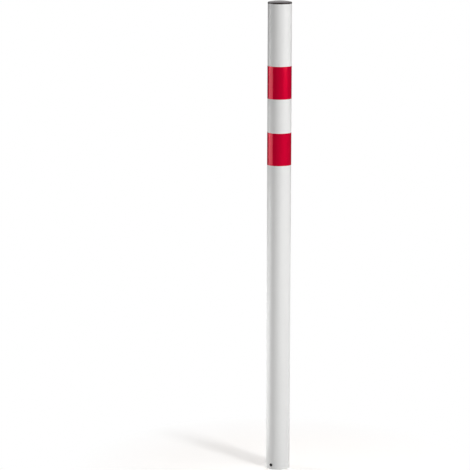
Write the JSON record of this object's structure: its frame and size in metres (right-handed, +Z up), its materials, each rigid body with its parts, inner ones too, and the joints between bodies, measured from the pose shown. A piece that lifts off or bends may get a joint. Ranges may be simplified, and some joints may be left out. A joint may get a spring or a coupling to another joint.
{
  "type": "in-ground marker post",
  "caption": "Slim round white steel post to cast into the ground, with a black push-in top cap, red reflective bands near the top and a hole for an anchor bar near the foot.",
  "frame": {"origin": "centre of the tube's lower end", "axes": "+Z up the post, along the tube's axis; the hole for the anchor bar runs along Y; the film's lap is at +Y"},
  "size_m": [0.077, 0.0774, 1.5094],
  "materials": {
    "white_powder_coat": "satin",
    "black_plastic": "fine satin, as moulded",
    "red_reflective_film": "glossy retroreflective film"
  },
  "bodies": {
    "root": {"post_tube": "white_powder_coat", "end_cap": "black_plastic", "upper_reflective_band": "red_reflective_film", "lower_reflective_band": "red_reflective_film"}
  },
  "joints": []
}
